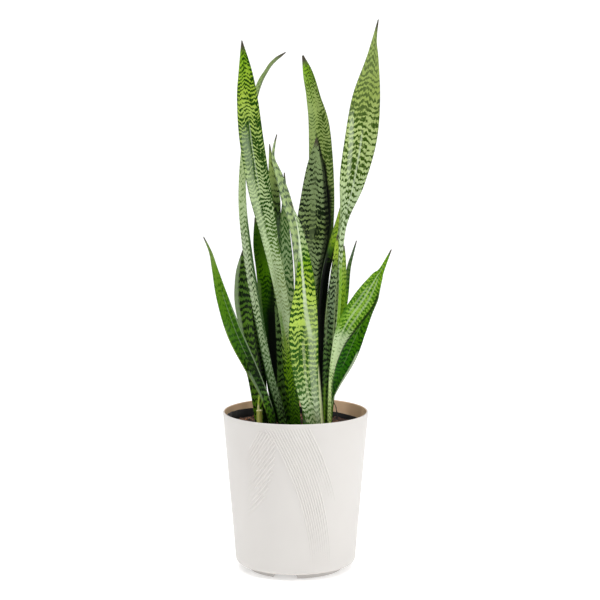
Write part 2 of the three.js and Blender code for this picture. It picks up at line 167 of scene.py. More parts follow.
# %% [markdown]
# ## Building a finish from nodes
#
# Every finish here is a small graph of nodes. Written out call by call it is hard to read, so two
# helpers wrap it. A Signal is what comes out of a node, and Python's own signs add, subtract and
# multiply it. A Finish is one material: each call adds a node, plugs in what it is given and hands
# back the new Signal. Three numbers are a colour, from 0 to 255 as on screen.

# %% Node helper
def linear(*red_green_blue):
    """A colour as on screen, turned into the linear light that a shader needs."""
    shares = [value / 255 for value in red_green_blue]
    return (*[s / 12.92 if s <= 0.04045 else ((s + 0.055) / 1.055) ** 2.4 for s in shares], 1)


class Signal:
    """What comes out of a node."""

    def __init__(self, finish, socket):
        self.finish, self.socket = finish, socket

    def __add__(self, other):
        return self.finish.math("ADD", self, other)

    def __sub__(self, other):
        return self.finish.math("SUBTRACT", self, other)

    def __rsub__(self, other):
        return self.finish.math("SUBTRACT", other, self)

    def __mul__(self, other):
        return self.finish.math("MULTIPLY", self, other)


class Finish:
    """One material, whose graph is built by calls."""

    def __init__(self, name):
        self.material = bpy.data.materials.new(name)
        self.material.use_nodes = True
        self.tree = self.material.node_tree
        self.shader = self.tree.nodes["Principled BSDF"]

    def plug(self, socket, value):
        if isinstance(value, Signal):
            self.tree.links.new(value.socket, socket)
        elif isinstance(value, tuple) and len(value) == 3:
            socket.default_value = linear(*value)
        else:
            socket.default_value = value

    def add(self, kind, inputs, out=0, **settings):
        node = self.tree.nodes.new(kind)
        for key, value in settings.items():
            setattr(node, key, value)
        for key, value in inputs.items():
            self.plug(node.inputs[key], value)
        return Signal(self, node.outputs[out])

    def math(self, operation, *values):
        return self.add("ShaderNodeMath", dict(enumerate(values)), operation=operation)

    def vector(self, x, y, z):
        return self.add("ShaderNodeCombineXYZ", dict(X=x, Y=y, Z=z))

    def parts(self, vector):
        node = self.add("ShaderNodeSeparateXYZ", {"Vector": vector}).socket.node
        return [Signal(self, socket) for socket in node.outputs]

    def object_place(self):
        return self.add("ShaderNodeTexCoord", {}, "Object")

    def noise(self, vector, scale=1.0, detail=2.0, roughness=0.5):
        inputs = dict(Vector=vector, Scale=scale, Detail=detail, Roughness=roughness)
        return self.add("ShaderNodeTexNoise", inputs, "Fac")

    def step(self, value, low, high):
        inputs = {"Value": value, "From Min": low, "From Max": high}
        return self.add("ShaderNodeMapRange", inputs, "Result", interpolation_type="SMOOTHSTEP")

    def mix(self, factor, a, b, blend="MIX"):
        inputs = {0: factor, 6: a, 7: b}
        return self.add("ShaderNodeMix", inputs, 2, data_type="RGBA", blend_type=blend)

    def ramp(self, factor, stops):
        """Colours, or grey in percent, by their place along the factor in percent."""
        signal = self.add("ShaderNodeValToRGB", {"Fac": factor}, "Color")
        band = signal.socket.node.color_ramp
        while len(band.elements) < len(stops):
            band.elements.new(0.5)
        for element, (place, value) in zip(band.elements, stops.items()):
            element.position = place / 100
            is_colour = isinstance(value, tuple)
            element.color = linear(*value) if is_colour else (*[value / 100] * 3, 1)
        return signal

    def bump(self, height, strength, distance):
        inputs = dict(Height=height, Strength=strength, Distance=distance)
        self.set(Normal=self.add("ShaderNodeBump", inputs))

    def set(self, **values):
        for name, value in values.items():
            self.plug(self.shader.inputs[name.replace("_", " ")], value)


print("node helpers ready")

# %% Dressing a piece, and the floor's finish
def dress(piece, material):
    """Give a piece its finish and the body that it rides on."""
    piece.data.materials.clear()
    piece.data.materials.append(material)
    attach(piece, "root")


white_floor = Finish("white_floor")
white_floor.set(Base_Color=(0.93, 0.93, 0.93, 1), Roughness=0.9)
white_floor.set(Emission_Color=(1, 1, 1, 1), Emission_Strength=0.3)
floor.data.materials.append(white_floor.material)
print("floor finish ready")

# %% [markdown]
# ## The leaves: one blade, bent nineteen ways
#
# Each leaf follows a midrib: a smooth line through a few points, each with the blade's width
# there. Two short lists say which way its hollow side faces and how deep the gutter is from foot
# to tip. The sizes are those of the solid model, in millimetres, and so are the names, less the
# word leaf.

# %% Leaf sizes
# Each knot is x, y, z and width, up the midrib from the buried end to the tip, from the pot's
# axis. face is in degrees from the front, positive to the right. crease says how late the blade
# rises towards its margins, and wave how far they ripple.
LEAVES = {
    "tall_left": dict(face=[6, 8, 6, 4], gutter=[0.7, 0.5, 0.3, 0.3], crease=1.3, wave=1, knots=[
        (1, -54, 205, 14), (0, -55, 260, 15), (-9, -57, 360, 17), (-22, -60, 458, 20), (-40, -65, 549, 26),
        (-57, -69, 631, 36), (-70, -72, 714, 38), (-76, -74, 777, 33), (-79, -75, 821, 21),
        (-84, -76, 868, 1.6)]),
    "tall_left_curled": dict(
        face=[-20, -35, -45, -70, -52], gutter=[0.7, 0.6, 0.5, 0.2], crease=1.2, wave=0.5, knots=[
        (-16, -36, 205, 15), (-20, -36, 260, 15), (-41, -34, 340, 15), (-58, -30, 433, 18),
        (-73.6, -24, 526, 19.2), (-82.4, -13, 614, 18.5), (-79, 1, 705, 16), (-59.5, 15, 788, 17.5),
        (-45, 22, 820, 14), (-32, 26, 837, 11), (-16, 30, 850, 1.6)]),
    "left_back_broad": dict(face=[10, 12, 8], gutter=[0.6, 0.3, 0.25], crease=1.7, wave=0.6, knots=[
        (-31, 12, 205, 14), (-33, 12, 258, 14), (-38.5, 12.5, 308, 20), (-42, 14, 345, 23),
        (-46, 20, 428, 28), (-50, 26, 494, 32), (-56, 30, 533, 29), (-61, 33, 563, 17),
        (-67, 36, 580, 1.6)]),
    "left_dark": dict(face=[-12, -16, -18], gutter=[0.7, 0.45, 0.3], crease=1.6, wave=0.4, knots=[
        (-57, -12, 205, 13), (-59, -12, 250, 14), (-65.5, -14, 317, 21), (-70.5, -14.5, 345, 24),
        (-78, -15, 400, 25), (-84, -15, 449, 29), (-85, -13, 490, 24), (-85, -11, 513, 14),
        (-86, -9, 530, 1.6)]),
    "left_thin": dict(face=[40, 50, 50], gutter=[0.7, 0.4, 0.3], crease=1.5, wave=0, knots=[
        (-51, 10, 205, 12), (-53, 10, 250, 13), (-58, 10.5, 337, 15), (-67.5, 7, 389, 14),
        (-76, 5, 447, 11), (-79, 5, 488, 1.6)]),
    "front_centre": dict(face=[4, 8, 14, 10], gutter=[0.6, 0.35, 0.4, 0.3], crease=1.5, wave=1.2, knots=[
        (31, -76, 205, 20), (29, -77, 256, 23), (17, -80, 327, 38), (11.5, -82, 410, 47.5),
        (14, -84, 482, 32), (12, -84, 537, 17), (5, -82, 578, 7), (-7, -78, 612, 1.6)]),
    "centre_grey": dict(face=[5, 14, 24, 20], gutter=[0.7, 0.5, 0.5, 0.3], crease=1.3, wave=0.5, knots=[
        (21, -48, 205, 14), (19, -48, 250, 15), (12, -50, 350, 16), (6, -50, 453, 16), (4, -47, 508, 14),
        (-3.5, -38, 569, 14.5), (-16.5, -30, 615, 16.5), (-27, -28, 651, 13), (-36, -26, 680, 6),
        (-34.5, -25.5, 700, 4), (-30, -25, 719, 1.6)]),
    "centre_dark": dict(face=[-6, -10, -10], gutter=[0.7, 0.4, 0.3], crease=1.6, wave=0.5, knots=[
        (-12, -2, 205, 15), (-15, -2, 250, 17), (-19, -3, 305, 20.5), (-21, -4, 350, 18),
        (-25, -2, 455, 20), (-33, 1, 545, 21), (-34.3, 3, 612, 20.5), (-38.4, 6, 657, 11),
        (-42, 9, 702, 1.6)]),
    "centre_chevron": dict(face=[4, 4, 6], gutter=[0.6, 0.35, 0.3], crease=1.3, wave=0.6, knots=[
        (0, -26, 205, 17), (-2, -26, 246, 19), (-8, -26, 322, 22), (-10, -24, 380, 26),
        (-13.5, -22, 453, 24), (-15, -20, 515, 21), (-18, -16, 570, 16), (-17, -14, 612, 9),
        (-18, -12, 657, 1.6)]),
    "centre_right_broad": dict(
        face=[62, 58, 30, 4, 0, -2], gutter=[0.7, 0.5, 0.3, 0.25], crease=1.7, wave=0.8, knots=[
        (43, -46, 205, 9), (41, -46, 250, 9.5), (32, -43, 352, 12), (23, -30, 445, 24), (22, -18, 505, 38),
        (27, -7, 566, 52), (30, 1, 612, 44), (32, 8, 657, 31), (33, 12, 685, 17), (34, 16, 711, 1.6)]),
    "tall_centre": dict(face=[-6, -8, -8], gutter=[0.7, 0.4, 0.3], crease=1.6, wave=1, knots=[
        (40, 15, 205, 15), (40, 16, 260, 16), (38, 21, 394, 22), (41, 30, 509, 36), (44, 42, 608, 43),
        (40.5, 57, 720, 36), (30.2, 67, 776, 23.5), (21, 75, 815, 17), (12, 82, 845, 3)]),
    "tall_right": dict(
        face=[60, 66, 68, 50, 8, -8, -10, -10], gutter=[0.7, 0.6, 0.5, 0.35, 0.3],
        crease=1.4, wave=1.2, knots=[
        (52, 3, 205, 14), (52.5, 2, 250, 14), (62, -6, 380, 16), (67.3, -14, 465, 17), (69, -22, 540, 20),
        (76, -26, 592, 24), (89, -30, 646, 42), (105, -34, 713, 51), (114, -41, 777, 45),
        (122.4, -48, 837, 21), (125.2, -51, 868, 8.2), (131, -55, 901, 1.6)]),
    "right_bright": dict(
        face=[20, 20, 10, -6, -10], gutter=[0.7, 0.5, 0.3, 0.3], crease=1.5, wave=0.8, knots=[
        (54, -50, 205, 7), (54.5, -50, 250, 7), (56.5, -54, 322, 8), (65.5, -58, 373, 18),
        (82, -62, 414, 33), (111, -66, 457, 37.5), (130, -70, 492, 20), (138, -71, 505, 9),
        (153, -74, 538, 1.6)]),
    "right_yellow": dict(face=[30, 35, 45, 40], gutter=[0.7, 0.5, 0.4], crease=1.4, wave=0, knots=[
        (42, -6, 205, 13), (42, -4, 250, 13), (38.5, -4, 398, 14.5), (42.3, -3, 455, 16.5),
        (47, -2, 496, 18), (59, -3, 545, 17.5), (68.2, -5, 578, 11.5), (74, -6, 604, 1.6)]),
    "right_narrow": dict(face=[12, 4, 0], gutter=[0.8, 0.45, 0.3], crease=1.2, wave=0, knots=[
        (48, -28, 205, 12), (48, -28, 250, 12), (51.5, -30, 349, 15), (54.3, -32, 402, 16.5),
        (58.5, -34, 456, 14.5), (63.6, -36.5, 510, 9.5), (66, -38, 535, 7.5), (67.5, -38, 558, 1.6)]),
    "right_green": dict(face=[16, 22, 26], gutter=[0.7, 0.5, 0.4], crease=1.5, wave=0, knots=[
        (53, 23, 205, 11), (54, 23, 250, 11), (68, 25, 394, 13), (77, 27, 461, 11), (79, 28, 507, 8),
        (80, 29, 534, 1.6)]),
    "right_small": dict(face=[30, 40, 42], gutter=[0.7, 0.5, 0.4], crease=1.5, wave=0, knots=[
        (55, 42, 205, 10), (56, 42, 250, 10), (73, 49, 391, 12), (82, 54, 446, 11), (87, 58, 491, 9),
        (94, 61, 516, 5.5), (101.5, 64, 539, 1.6)]),
    "right_low": dict(face=[60, 20, -8, -10], gutter=[0.7, 0.4, 0.3], crease=1.5, wave=0.5, knots=[
        (52, -14.5, 205, 8), (53, -15, 250, 8), (55.5, -16, 280, 9.5), (62, -17, 308, 18.5),
        (83.5, -16, 359, 32.5), (102, -12, 400, 28), (117, -8, 430, 20), (129, -4, 450, 13.5),
        (138, -2, 465, 1.6)]),
    "left_outer": dict(face=[50, 40, 12, 6, 4], gutter=[0.8, 0.7, 0.4, 0.3], crease=1.3, wave=0.5, knots=[
        (-38, -65, 205, 14), (-40, -66, 254, 15), (-55, -68, 303, 17), (-77.6, -74, 355, 23),
        (-99, -78, 406, 25), (-117, -80, 462, 19), (-128, -80, 506, 10), (-135, -80, 534, 5),
        (-146, -80, 559, 1.6)]),
}
MM = 0.001
print(len(LEAVES), "leaves")

# %% [markdown]
# A spline through evenly spaced values gives the midrib, the width and the two lists alike. At
# each height it yields the leaf's centre, the direction across it, the direction its hollow side
# faces, half its width, the depth of its gutter and its thickness at the midrib.

# %% The line through the knots
FOOT_THICKNESS = 0.0065
MIDDLE_THICKNESS = 0.0032
TIP_THICKNESS = 0.0014
NARROWEST = 0.0014
LENGTH_STEPS = 200


def smooth_value(values, t):
    """A smooth line through evenly spaced values, read at t from 0 to 1."""
    last = len(values) - 1
    i = min(int(t * last), last - 1)
    s = t * last - i
    b, c = values[i], values[i + 1]
    a = values[i - 1] if i > 0 else 2 * b - c
    d = values[i + 2] if i + 2 <= last else 2 * c - b
    return b + 0.5 * s * (c - a + s * (2 * a - 5 * b + 4 * c - d + s * (3 * b - a - 3 * c + d)))


def smooth_step(t, low, high):
    x = min(max((t - low) / (high - low), 0), 1)
    return x * x * (3 - 2 * x)


def on_line(points, t):
    """A place on the smooth line through points in millimetres from the pot's axis."""
    return Vector([MM * smooth_value([p[i] for p in points], t) for i in range(3)]) + AXIS


def section(leaf, t, nearby=0.002):
    knots = leaf["knots"]
    along = (on_line(knots, min(t + nearby, 1)) - on_line(knots, max(t - nearby, 0))).normalized()
    face = math.radians(smooth_value(leaf["face"], t))
    towards = Vector((math.sin(face), -math.cos(face), 0))
    across = along.cross(towards).normalized()
    width = MM * smooth_value([knot[3] for knot in knots], t)
    body = FOOT_THICKNESS + (MIDDLE_THICKNESS - FOOT_THICKNESS) * smooth_step(t, 0, 0.55)
    middle = body + (TIP_THICKNESS - body) * smooth_step(t, 0.6, 1)
    if "thickness" in leaf:
        middle = MM * leaf["thickness"]
    half, gutter = max(width, NARROWEST) / 2, smooth_value(leaf["gutter"], t)
    return on_line(knots, t), across, across.cross(along), half, gutter, middle


def lengths_along(leaf):
    """Distance from the foot at evenly spaced t, so the last value is the leaf's length."""
    points = [on_line(leaf["knots"], i / LENGTH_STEPS) for i in range(LENGTH_STEPS + 1)]
    total = [0.0]
    for a, b in zip(points, points[1:]):
        total.append(total[-1] + (b - a).length)
    return total


print("longest leaf", round(max(lengths_along(leaf)[-1] for leaf in LEAVES.values()), 3), "m")

# %% [markdown]
# A blade could be drawn as a flat sheet and thickened, but this leaf is thick at the midrib and
# thin at the margins. So it starts as a block cut into many slices, which crowd towards the
# rounded margins, and every vertex is moved to its place on the leaf. Two numbers are kept on each
# corner for the finish: how far across, and how far up the leaf. On the back face 2 is added to
# the first one, by which the finish tells the two faces apart.

# %% One blade
RING_SPACING = 0.005
SLICES_THROUGH = 2
MARGIN_SHARE = 0.42  # of the midrib's thickness
THINNEST_MARGIN = 0.001
RIPPLES = 2.25
BACK_SHIFT = 2.0


def slice_block(bm, axis, cuts):
    edges = [e for e in bm.edges if abs(e.verts[0].co[axis] - e.verts[1].co[axis]) > 0.5]
    bmesh.ops.subdivide_edges(bm, edges=edges, cuts=cuts, use_grid_fill=True)


def blade_point(leaf, here, t, u, v):
    """Where a point lies: t up the leaf, u across it and v through it, both from -1 to 1."""
    centre, across, front, half, gutter, middle = here
    margin = max(middle * MARGIN_SHARE, THINNEST_MARGIN)
    rounding = max(math.sqrt(max(1 - abs(u) ** 12, 0)), 0.3)
    thickness = (middle + (margin - middle) * u * u) * rounding
    cup = gutter * half * abs(u) ** leaf["crease"]
    swing = math.sin(2 * math.pi * RIPPLES * t) + 0.35 * math.sin(7.3 * math.pi * RIPPLES * t + 2 * u)
    ripple = MM * leaf["wave"] * u * abs(u) * swing * math.sin(math.pi * t)
    return centre + across * (u * half) + front * (cup + ripple - v * thickness / 2)


def blade(name, leaf, slices_across=16):
    along = lengths_along(leaf)
    bm = bmesh.new()
    bmesh.ops.create_cube(bm, size=1)
    slice_block(bm, 2, max(12, round(along[-1] / RING_SPACING)) - 1)
    slice_block(bm, 0, slices_across - 1)
    slice_block(bm, 1, SLICES_THROUGH - 1)
    sections = {}
    places = {}
    for vert in bm.verts:
        t = round(min(max(vert.co.z + 0.5, 0), 1), 5)
        x, v = 2 * vert.co.x, 2 * vert.co.y
        u = 1.4 * x - 0.4 * x**3
        if t not in sections:
            sections[t] = section(leaf, t)
        places[vert] = (u, t, v)
        vert.co = blade_point(leaf, sections[t], t, u, v)
    leaf_map = bm.loops.layers.uv.new("leaf_map")
    for face in bm.faces:
        shift = BACK_SHIFT if min(places[vert][2] for vert in face.verts) > 0.9 else 0
        for loop in face.loops:
            u, t, _ = places[loop.vert]
            i = min(int(t * LENGTH_STEPS), LENGTH_STEPS - 1)
            height = along[i] + (t * LENGTH_STEPS - i) * (along[i + 1] - along[i])
            loop[leaf_map].uv = (0.5 + 0.5 * u + shift, height)
    return new_object(name, bm)


blades = {name: blade(f"leaf_{name}_blade", leaf) for name, leaf in LEAVES.items()}
print("blades with", sum(len(b.data.polygons) for b in blades.values()), "faces")

# %% [markdown]
# ## Leaf colours
#
# The leaves are pale grey-green to yellow-green, crossed by ragged dark lines that peak at the
# midrib, dip halfway out and rise again to the margin, thicken into blotches and fade. So the
# finish starts from the distance up the leaf, bends it with the shape of one line, roughens it
# with noise, and turns the result into stripes.
#
# No two leaves are alike: those in front are waxy and pale, those inside the clump are deep green,
# and their feet are painted nearly black as painted shade, where the clump shades them. So every
# leaf gets its own ground colours, line spacing and long streaks, and most streaks are painted
# light: pale ones are painted highlights, dark ones painted shade. The streaks and the painted
# near-black feet belong to the front face; the back has the plain bands.

# %% Leaf palette
# a painted highlight colour, used only in the leaves' streaks
SILVER_HIGHLIGHT = (202, 216, 182)
PALE = (176, 195, 150)
CELADON = (160, 181, 122)
SPRING = (156, 181, 84)
LEMON = (170, 197, 82)
CITRUS = (154, 182, 60)
CREAM = (226, 238, 182)
SAGE = (130, 150, 101)
# a painted highlight and reflection, pale grey-blue, used only in the leaves' streaks
GREY_HIGHLIGHT = (132, 150, 118)
FERN = (145, 165, 92)
OLIVE = (114, 134, 74)
SLATE = (84, 100, 78)
MOSS = (76, 106, 36)
LIME = (118, 162, 24)
IVY = (86, 130, 14)
GRASS = (58, 102, 8)
PINE = (24, 60, 0)
# INK is the darkest colour of the lines, and painted shade where it stands in streaks and at leaf feet;
# SHADE is painted shade
INK = (5, 22, 1)
SHADE = (1, 3, 1)
BACK_GREEN = (66, 98, 38)
BACK_LINE = (34, 62, 18)
TIP_BROWN = (70, 66, 54)
print("leaf palette ready")

# %% [markdown]
# gap is the distance between two lines and rise the height of their peaks, in millimetres. cover
# is the share of dark, ground the colour under it and dark the lines' colour, by their place up
# the leaf; places and shares are in percent. Where the ground turns near-black at a foot, that is
# painted shade. tilt moves some of the dark to the right half, and lines and strokes make the waves
# and the lengthwise marks count for more. A streak is its place across the leaf, from -100 at the
# left margin to 100 at the right one (or two of these, for its lower and upper end), its half
# width, its lower and upper end, its colour and its strength. Pale streaks are mostly painted
# highlights, and dark ones painted shade.

# %% Looks of the leaves at the left
PLAIN_LOOK = dict(rise=1, tilt=0, lines=1, strokes=0, dark=INK, streaks=[])  # unless said
LOOKS = {
    # the grey, silver and pale streaks of tall_left are painted highlights
    "tall_left": dict(gap=6.7, rise=3, tilt=0.08,
        cover={10: 60, 25: 45, 31: 38, 42: 42, 50: 55, 62: 58, 77: 66, 83: 62, 88: 50, 95: 50},
        ground={5: GRASS, 14: IVY, 22: LIME, 27: SPRING, 31: PALE, 50: PALE, 66: CELADON, 80: SPRING,
            88: CITRUS, 96: LIME}, dark={26: PINE, 32: SAGE, 42: OLIVE, 50: MOSS, 60: PINE},
        streaks=[(-50, 45, 70, 79, GREY_HIGHLIGHT, 60), (0, 7, 64, 80, SILVER_HIGHLIGHT, 35), (-60, 50, 40, 69, PALE, 50),
            (-75, 40, 26, 35, IVY, 60)]),
    # the dark streak on the right half is painted shade on the folded blade; the silver one a painted
    # highlight
    "tall_left_curled": dict(gap=8.2, rise=2.6, tilt=0.15, lines=1.5,
        cover={10: 60, 30: 48, 42: 52, 50: 60, 56: 50, 62: 36, 80: 36, 90: 50},
        ground={5: GRASS, 14: (116, 142, 98), 22: (146, 168, 128), 34: PALE, 52: PALE, 64: (172, 190, 138),
            74: CELADON, 82: FERN, 90: (140, 156, 100), 97: (112, 122, 82)},
        dark={10: INK, 18: (56, 84, 36), 30: (60, 90, 40), 44: PINE, 60: (92, 118, 62)},
        streaks=[(75, 52, 28, 57, (30, 66, 4), 88), (-60, 35, 36, 54, SILVER_HIGHLIGHT, 35),
            (-95, 30, 5, 34, PINE, 80)]),
    # the INK foot and the SHADE and INK streaks are painted shade, where the leaves in front shade it
    "left_back_broad": dict(gap=7.4, rise=1.2, tilt=0.1, dark=(22, 62, 0),
        cover={60: 55, 70: 48, 77: 44, 85: 38},
        ground={40: INK, 55: (34, 72, 4), 66: (66, 114, 8), 74: (88, 140, 10), 80: (66, 108, 8),
            87: (54, 90, 8), 97: (50, 82, 10)},
        streaks=[(50, 95, 0, 60, SHADE, 95), ((60, 130), 80, 58, 80, INK, 85),
            ((-90, -85), 30, 50, 72, (130, 158, 90), 60)]),
    # the pale streak at the left margin is a painted highlight
    "left_dark": dict(gap=11, rise=0.6, tilt=0.05, lines=2.2,
        cover={20: 30, 35: 45, 55: 66, 62: 48, 70: 62, 90: 55},
        ground={10: IVY, 25: (92, 134, 28), 40: (66, 100, 30), 63: (80, 116, 30), 75: (68, 104, 32),
            95: MOSS}, streaks=[(-85, 42, 53, 96, (146, 166, 124), 70)]),
    "left_thin": dict(gap=8, cover={10: 55, 90: 60}, ground={10: PINE, 40: (46, 78, 20), 90: MOSS},
        streaks=[(-95, 20, 50, 100, FERN, 50)]),
    # the grey streaks of left_outer are painted highlights
    "left_outer": dict(gap=9.4, rise=1.2, tilt=0.1, cover={10: 60, 40: 62, 55: 42, 90: 30},
        ground={10: (20, 50, 4), 20: (68, 112, 14), 26: (80, 116, 50), 30: (44, 76, 26), 40: (48, 78, 12),
            50: (48, 92, 2), 68: (70, 114, 6), 85: (92, 130, 30), 95: OLIVE},
        dark={40: INK, 55: PINE, 70: (46, 88, 0)},
        streaks=[(-95, 10, 20, 60, CITRUS, 40), (25, 6, 45, 75, GREY_HIGHLIGHT, 40), (90, 12, 20, 70, GREY_HIGHLIGHT, 60),
            (-60, 45, 25, 38, GREY_HIGHLIGHT, 45)]),
}
print(len(LOOKS), "looks at the left")

# %% Looks of the leaves in the middle
LOOKS |= {
    # the silver and celadon streaks of front_centre, its ridge among them, are painted highlights
    "front_centre": dict(gap=8.8, lines=1.6, strokes=1,
        cover={15: 50, 30: 62, 36: 68, 49: 74, 52.5: 25, 56: 54, 61: 28, 70: 45, 77: 64, 87: 35},
        ground={10: SAGE, 20: PALE, 28: CELADON, 38: SPRING, 46: SPRING, 52.5: LEMON, 64: LEMON,
            70: CITRUS, 77: LIME, 84: CELADON, 95: PALE},
        dark={25: (54, 90, 32), 40: (34, 76, 8), 50: (26, 68, 2)},
        streaks=[(60, 35, 12, 49, SILVER_HIGHLIGHT, 30), ((50, -80), 20, 47.5, 92, SILVER_HIGHLIGHT, 75),
            (50, 60, 46, 60, CELADON, 40), (0, 14, 20, 45, CREAM, 25), (-80, 50, 78, 97, SILVER_HIGHLIGHT, 60)]),
    "centre_grey": dict(gap=12.5, tilt=0.1, strokes=0.5, dark=SLATE, cover={50: 50, 90: 42},
        ground={10: GRASS, 40: SAGE, 50: CELADON, 95: CELADON}, streaks=[(-95, 15, 40, 90, PINE, 40)]),
    "centre_dark": dict(gap=10.5, rise=1.5, tilt=0.1, cover={20: 50, 70: 55, 90: 30},
        ground={10: GRASS, 20: (74, 108, 40), 30: (96, 134, 60), 42: (122, 150, 92), 55: MOSS,
            77: (60, 88, 34), 85: OLIVE, 93: FERN}, streaks=[(60, 40, 50, 76, SLATE, 60)]),
    "centre_chevron": dict(gap=10.5, rise=4, lines=1.4, cover={10: 55, 60: 48, 90: 45},
        ground={10: GRASS, 30: LIME, 40: SPRING, 50: CELADON, 72: (140, 164, 116), 90: OLIVE},
        dark={40: (14, 48, 2), 52: (38, 76, 24)}, streaks=[(-90, 35, 60, 100, PINE, 50)]),
    # the INK band low down, the SHADE streak on the right margin and the INK streak low on the right are
    # painted shade; the cream is the pale stalk's own colour
    "centre_right_broad": dict(gap=8.5, rise=1.8, tilt=-0.06, dark=(12, 28, 6),
        cover={50: 45, 62: 50, 71: 66, 80: 45, 95: 40},
        ground={20: CREAM, 27: GRASS, 40: INK, 48: MOSS, 56: SAGE, 64: SAGE, 70: OLIVE, 80: SAGE,
            95: SAGE}, streaks=[(0, 25, 50, 97, (120, 138, 92), 35), (-30, 300, -100, 27, CREAM, 85),
            ((105, 100), 40, 50, 97, SHADE, 85), (100, 60, -100, 30, INK, 85)]),
    # the SHADE foot and SHADE streaks are painted shade, the shadow cast by the leaf in front
    "tall_centre": dict(gap=6.4, rise=3, tilt=0.15, dark=(56, 80, 20), cover={60: 45, 75: 48, 90: 45},
        ground={45: SHADE, 58: MOSS, 66: FERN, 85: FERN, 92: (134, 158, 78), 97: LIME},
        streaks=[((60, 14), 30, 55, 72.5, SHADE, 97), ((22, -32), 15, 70, 78.7, SHADE, 95),
            (30, 62, 30, 66, SHADE, 95), (-70, 50, 68, 88, SAGE, 25)]),
}
print(len(LOOKS), "looks so far")

# %% Looks of the leaves at the right
LOOKS |= {
    # the silver streaks of tall_right are painted highlights
    "tall_right": dict(gap=9.8, rise=3, strokes=0.6,
        cover={20: 50, 45: 44, 54: 53, 61: 48, 66: 63, 73: 54, 80: 52, 90: 48},
        ground={10: CITRUS, 22: PALE, 35: CELADON, 45: PALE, 58: PALE, 66: (174, 193, 128),
            75: (172, 190, 118), 83: (148, 168, 84), 95: FERN},
        dark={60: (48, 74, 10), 76: (52, 78, 14), 88: (88, 106, 56)},
        streaks=[((-30, -80), 20, 64, 78, SILVER_HIGHLIGHT, 40), ((40, 0), 8, 56, 74, SILVER_HIGHLIGHT, 50),
            (-85, 40, 50, 60, OLIVE, 50), (-60, 25, 25, 50, SILVER_HIGHLIGHT, 50), (60, 60, 26, 43, LIME, 85),
            (70, 60, 5, 27, GRASS, 85)]),
    # the pale streaks are painted highlights, the INK and PINE streaks at the right painted shade
    "right_bright": dict(gap=6.2, rise=1.2, tilt=0.06, strokes=0.3,
        cover={20: 40, 35: 46, 50: 24, 58: 48, 70: 58, 92: 50},
        ground={10: CITRUS, 16: (196, 218, 136), 54: PALE, 60: (132, 172, 56), 70: (128, 168, 56),
            80: (126, 164, 52), 90: LIME}, dark={30: (76, 108, 50), 50: (60, 100, 24), 62: (54, 102, 4)},
        streaks=[(-10, 12, 50, 92, PALE, 50), ((35, 30), 12, 55, 86, PALE, 40),
            ((-50, -40), 12, 66, 80, PALE, 35), (20, 80, 38, 56, PALE, 50), (93, 20, 36, 80, INK, 90),
            (0, 150, 87, 89, GRASS, 50), (-90, 35, 55, 64, IVY, 60), ((90, 85), 45, 10, 36, PINE, 80)]),
    # the SHADE ground and streaks are painted shade on the folded lower blade; the grey streak at the
    # margin is a painted highlight
    "right_yellow": dict(gap=8, dark=(62, 98, 8), cover={70: 40, 90: 35},
        ground={78: SHADE, 81: GRASS, 85: (136, 172, 30), 95: CITRUS},
        streaks=[(0, 300, -100, 77, SHADE, 97), (-90, 10, 70, 78, GREY_HIGHLIGHT, 50),
            (90, 50, 70, 82, SHADE, 90)]),
    "right_narrow": dict(gap=8.6, rise=0.6, tilt=-0.1, lines=1.3,
        cover={20: 50, 50: 55, 82: 50, 87: 45, 91: 25},
        ground={15: (66, 96, 26), 30: (64, 100, 34), 50: (84, 114, 58), 58: (112, 140, 96),
            66: (136, 160, 120), 80: (136, 158, 112), 85: (106, 136, 56), 91: CITRUS},
        streaks=[(90, 25, 50, 80, CELADON, 50), (-95, 20, 58, 72, CELADON, 70),
            (-55, 30, 50, 66, SAGE, 45), ((-30, -40), 35, 5, 30, LIME, 40)]),
    "right_green": dict(gap=8, dark=GRASS, cover={20: 50, 90: 48},
        ground={15: GRASS, 60: (108, 158, 20), 78: (138, 176, 44), 92: SPRING},
        streaks=[(-80, 30, 30, 90, LEMON, 50)]),
    "right_small": dict(gap=8, dark=PINE, cover={20: 45, 90: 45},
        ground={20: PINE, 50: LIME, 72: IVY, 83: MOSS, 93: SLATE}),
    # the silver streak at the right edge is a painted highlight
    "right_low": dict(gap=7.5, rise=1.5, dark=(12, 56, 0), cover={20: 50, 80: 50},
        ground={20: CITRUS, 28: GRASS, 50: (42, 106, 6), 80: (74, 124, 12), 93: OLIVE},
        streaks=[(92, 17, 22, 60, SILVER_HIGHLIGHT, 75), (10, 6, 50, 90, SAGE, 30)]),
}
print(len(LOOKS), "looks")

# %% [markdown]
# The graph below is the same for every leaf. It reads the two numbers that the blade keeps on its
# corners.

# %% Places and streaks on a leaf
class LeafFinish(Finish):
    """The skin of one leaf."""

    def __init__(self, name, length, seed):
        super().__init__(name)
        self.seed = seed
        across, self.up, _ = self.parts(self.add("ShaderNodeUVMap", {}, uv_map="leaf_map"))
        self.back = self.math("GREATER_THAN", across, 0.5 + 0.5 * BACK_SHIFT)
        self.side = across * 2 - self.back * (2 * BACK_SHIFT) - 1
        self.place = self.up * (1 / length)

    def speckle(self, across_scale, up_scale, detail, shift):
        """Noise about zero, drawn out along or across the leaf. Each shift gives another one."""
        place = self.vector(self.side * across_scale, self.up * up_scale, self.seed + shift)
        return self.noise(place, detail=detail) - 0.5

    # a streak mixes a strip of colour over the leaf; most are painted highlights and painted shade
    def streak(self, colour, rough, place, reach, low, high, tint, strength, blur=0.02):
        reach, low, high = reach / 100, low / 100, high / 100
        lower, upper = place if isinstance(place, tuple) else (place, place)
        slope = (upper - lower) / 100 / (high - low)
        middle = self.place * slope + (lower / 100 - slope * low)
        away = self.math("ABSOLUTE", self.side - middle)
        away += rough * (0.5 * min(reach, 0.5))
        height = self.place + rough * 0.05
        share = 1 - self.step(away, 0.4 * reach, reach)
        share *= self.step(height, low - blur, low + blur)
        share *= 1 - self.step(height, high - blur, high + blur)
        return self.mix(share * (strength / 100), colour, tint)


print("leaf helper ready")

